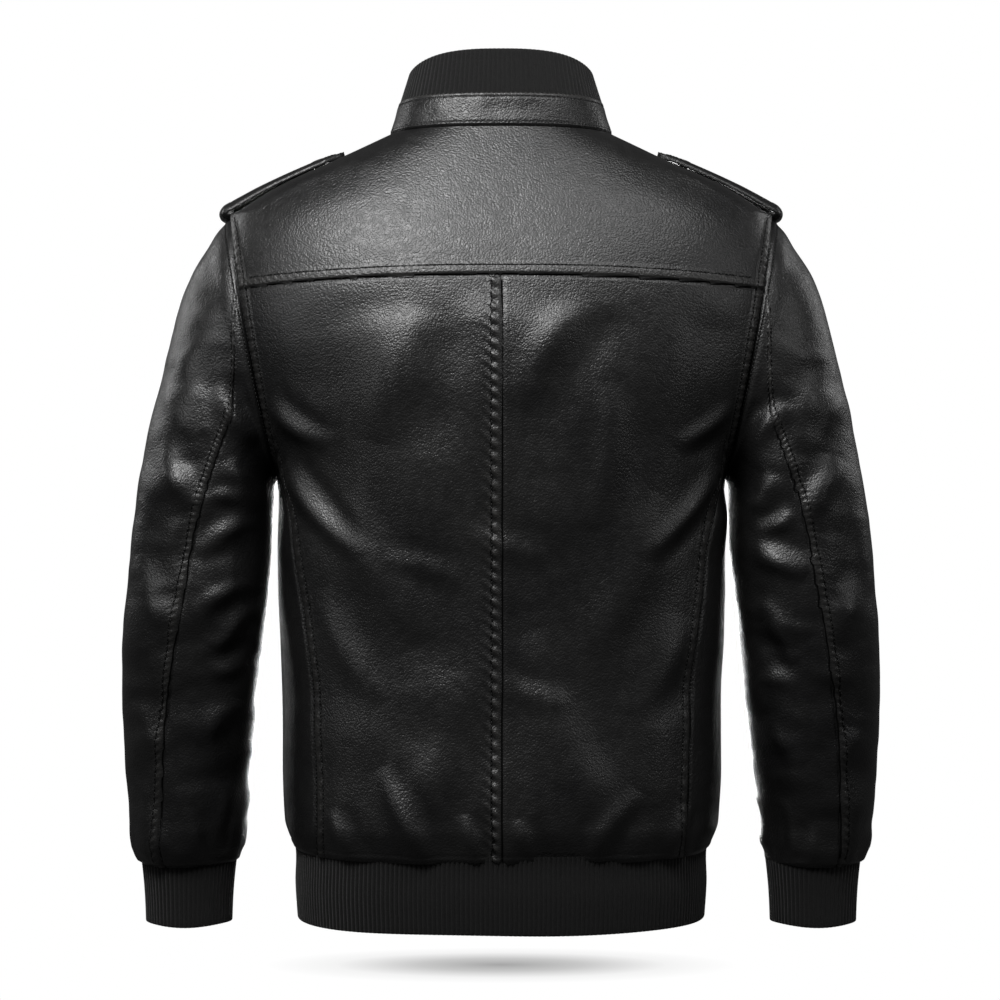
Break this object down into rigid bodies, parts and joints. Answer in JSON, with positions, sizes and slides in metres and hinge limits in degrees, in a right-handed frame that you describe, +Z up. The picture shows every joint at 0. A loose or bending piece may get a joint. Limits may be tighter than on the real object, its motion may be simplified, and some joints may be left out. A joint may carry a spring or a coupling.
{
  "type": "leather riding jacket",
  "caption": "Men's zip-front leather riding jacket with a rib-knit collar, hem and cuffs, shoulder straps and slash pockets.",
  "frame": {"origin": "middle of the neck opening, level with the collar seam at the back", "axes": "+Z up, the front of the jacket faces -Y, +X towards the wearer's left sleeve"},
  "size_m": [0.6404, 0.2625, 0.7324],
  "materials": {
    "leather": "semi-gloss, finely creased",
    "rib_knit": "matte rib knit",
    "lining": "satin lining",
    "zip_tape": "woven tape",
    "gunmetal": "dark gunmetal",
    "label": "woven, blank"
  },
  "bodies": {
    "jacket": {"back_yoke": "leather", "collar_stand": "leather", "back_panel_left": "leather", "back_panel_right": "leather", "side_panel_left": "leather", "side_panel_right": "leather", "front_panel_left": "leather", "front_panel_right": "leather", "front_yoke_left": "leather", "front_yoke_right": "leather", "sleeve_cap_left": "leather", "sleeve_cap_right": "leather", "epaulette_fold_left": "leather", "epaulette_fold_right": "leather", "pocket_welt_left": "leather", "pocket_welt_right": "leather", "hanger_loop": "leather", "collar_rib": "rib_knit", "hem_rib": "rib_knit", "back_lining": "lining", "front_lining_left": "lining", "front_lining_right": "lining", "pocket_bag_left": "lining", "pocket_bag_right": "lining", "zip_tape_left": "zip_tape", "zip_tape_right": "zip_tape", "zip_teeth_left": "gunmetal", "zip_teeth_right": "gunmetal", "zip_top_stops": "gunmetal", "zip_retaining_box": "gunmetal", "pocket_chain_left": "gunmetal", "pocket_chain_right": "gunmetal", "snap_stud_left": "gunmetal", "snap_stud_right": "gunmetal", "neck_label": "label"},
    "main_slider": {"main_slider": "gunmetal"},
    "main_pull": {"main_pull": "gunmetal"},
    "pocket_slider_left": {"pocket_slider_left": "gunmetal"},
    "pocket_pull_left": {"pocket_pull_left": "gunmetal"},
    "epaulette_left": {"epaulette_strap_left": "leather", "snap_cap_left": "gunmetal"},
    "upper_sleeve_left": {"upper_sleeve_outer_left": "leather", "upper_sleeve_under_left": "leather", "sleeve_elbow_left": "leather"},
    "forearm_left": {"forearm_outer_left": "leather", "forearm_under_left": "leather", "cuff_left": "rib_knit"},
    "pocket_slider_right": {"pocket_slider_right": "gunmetal"},
    "pocket_pull_right": {"pocket_pull_right": "gunmetal"},
    "epaulette_right": {"epaulette_strap_right": "leather", "snap_cap_right": "gunmetal"},
    "upper_sleeve_right": {"upper_sleeve_outer_right": "leather", "upper_sleeve_under_right": "leather", "sleeve_elbow_right": "leather"},
    "forearm_right": {"forearm_outer_right": "leather", "forearm_under_right": "leather", "cuff_right": "rib_knit"}
  },
  "joints": [
    {"name": "main_zip_slide", "type": "slide", "parent": "jacket", "child": "main_slider", "axis": [0, -0.0718, -0.9974], "range_m": [0, 0.605]},
    {"name": "main_pull_swing", "type": "hinge", "parent": "main_slider", "child": "main_pull", "pos_m": [0, -0.08924, -0.02669], "axis": [-1, 0, 0], "range_deg": [0, 140]},
    {"name": "left_pocket_zip_slide", "type": "slide", "parent": "jacket", "child": "pocket_slider_left", "axis": [0.2407, 0.0396, -0.9698], "range_m": [0, 0.118]},
    {"name": "left_pocket_pull_swing", "type": "hinge", "parent": "pocket_slider_left", "child": "pocket_pull_left", "pos_m": [0.10469, -0.10878, -0.38243], "axis": [-0.9033, -0.3564, -0.2388], "range_deg": [0, 140]},
    {"name": "left_epaulette_lift", "type": "hinge", "parent": "jacket", "child": "epaulette_left", "pos_m": [0.2325, 0, -0.0565], "axis": [0, 1, 0], "range_deg": [0, 100]},
    {"name": "left_shoulder_raise", "type": "hinge", "parent": "jacket", "child": "upper_sleeve_left", "pos_m": [0.2085, 0, -0.1755], "axis": [0, -1, 0], "range_deg": [0, 40], "deforming": ["sleeve_cap_left"]},
    {"name": "left_elbow_bend", "type": "hinge", "parent": "upper_sleeve_left", "child": "forearm_left", "pos_m": [0.259, 0.002, -0.411], "axis": [-1, 0, 0], "range_deg": [0, 45], "deforming": ["sleeve_elbow_left"]},
    {"name": "right_pocket_zip_slide", "type": "slide", "parent": "jacket", "child": "pocket_slider_right", "axis": [-0.2407, 0.0396, -0.9698], "range_m": [0, 0.118]},
    {"name": "right_pocket_pull_swing", "type": "hinge", "parent": "pocket_slider_right", "child": "pocket_pull_right", "pos_m": [-0.10469, -0.10878, -0.38243], "axis": [-0.9033, 0.3564, 0.2388], "range_deg": [0, 140]},
    {"name": "right_epaulette_lift", "type": "hinge", "parent": "jacket", "child": "epaulette_right", "pos_m": [-0.2325, 0, -0.0565], "axis": [0, -1, 0], "range_deg": [0, 100]},
    {"name": "right_shoulder_raise", "type": "hinge", "parent": "jacket", "child": "upper_sleeve_right", "pos_m": [-0.2085, 0, -0.1755], "axis": [0, 1, 0], "range_deg": [0, 40], "deforming": ["sleeve_cap_right"]},
    {"name": "right_elbow_bend", "type": "hinge", "parent": "upper_sleeve_right", "child": "forearm_right", "pos_m": [-0.259, 0.002, -0.411], "axis": [-1, 0, 0], "range_deg": [0, 45], "deforming": ["sleeve_elbow_right"]}
  ]
}
